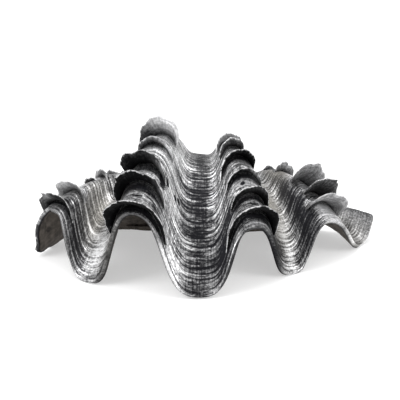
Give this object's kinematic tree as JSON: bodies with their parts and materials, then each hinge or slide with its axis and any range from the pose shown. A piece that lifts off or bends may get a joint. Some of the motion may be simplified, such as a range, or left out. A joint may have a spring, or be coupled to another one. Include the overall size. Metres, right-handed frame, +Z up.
{
  "type": "giant clam shell valve",
  "caption": "Single valve of a fluted giant clam, clad in silver outside, lying hollow side down on the tips of its wavy margin, with leaf-like scales on its ribs.",
  "frame": {"origin": "bottom centre of the bounding box, on the surface the shell lies on", "axes": "+X along the hinge to the right as seen from the fan's front, -Y towards the front of the fan, +Z up"},
  "size_m": [0.3779, 0.2451, 0.1522],
  "materials": {
    "silver_cladding": null,
    "shell_inside": null
  },
  "bodies": {
    "root": {"valve": "silver_cladding"}
  },
  "joints": []
}
